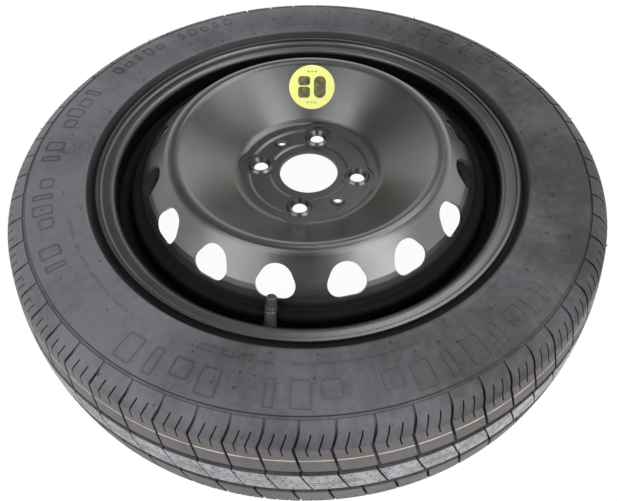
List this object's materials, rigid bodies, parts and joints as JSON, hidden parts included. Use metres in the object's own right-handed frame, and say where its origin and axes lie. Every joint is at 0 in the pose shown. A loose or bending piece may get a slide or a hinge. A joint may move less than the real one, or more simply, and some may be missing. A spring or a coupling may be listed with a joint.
{
  "type": "spare wheel",
  "caption": "Temporary spare wheel: a narrow tyre on a black steel wheel with a dished, vented disc, a centre bore, bolt holes and a capped snap-in valve.",
  "frame": {"origin": "on the wheel axis, in the plane that the tyre's inboard sidewall rests on", "axes": "+Z along the wheel axis towards the street side; +X at 11.25 degrees from a wheel bolt"},
  "size_m": [0.581, 0.581, 0.1461],
  "materials": {
    "tyre": "matte moulded rubber",
    "wheel_paint": "gloss black paint",
    "rubber": "matte",
    "brass": "turned",
    "seal_plastic": "matte",
    "spring_steel": "bright",
    "cap_plastic": "satin",
    "label": "printed film"
  },
  "bodies": {
    "wheel": {"tyre": "tyre", "rim": "wheel_paint", "disc": "wheel_paint", "weld_seams": "wheel_paint", "label": "label", "valve_rubber": "rubber", "valve_tube": "brass", "core_barrel": "brass", "core_seal": "seal_plastic", "core_spring": "spring_steel"},
    "core_plunger": {"core_pin": "brass", "core_cup": "brass", "core_cup_seal": "rubber"},
    "cap_seal": {"cap_seal": "rubber"},
    "valve_cap": {"valve_cap": "cap_plastic"}
  },
  "joints": [
    {"name": "core_press", "type": "slide", "parent": "wheel", "child": "core_plunger", "axis": [-0.0824, -0.4145, -0.9063], "range_m": [0, 0.0012], "stiffness_N_per_m": 800, "springref_m": -0.003, "deforming": ["core_spring"]},
    {"name": "cap_lift", "type": "slide", "parent": "wheel", "child": "cap_seal", "axis": [0.0824, 0.4145, 0.9063], "range_m": [0, 0.0085]},
    {"name": "cap_turn", "type": "hinge", "parent": "cap_seal", "child": "valve_cap", "pos_m": [-0.0328, -0.16491, 0.12373], "axis": [0.0824, 0.4145, 0.9063], "range_deg": [0, 3854]}
  ],
  "couplings": [
    {"joint": "cap_turn", "follows": "cap_lift", "rad_per_m": 7913.2}
  ]
}
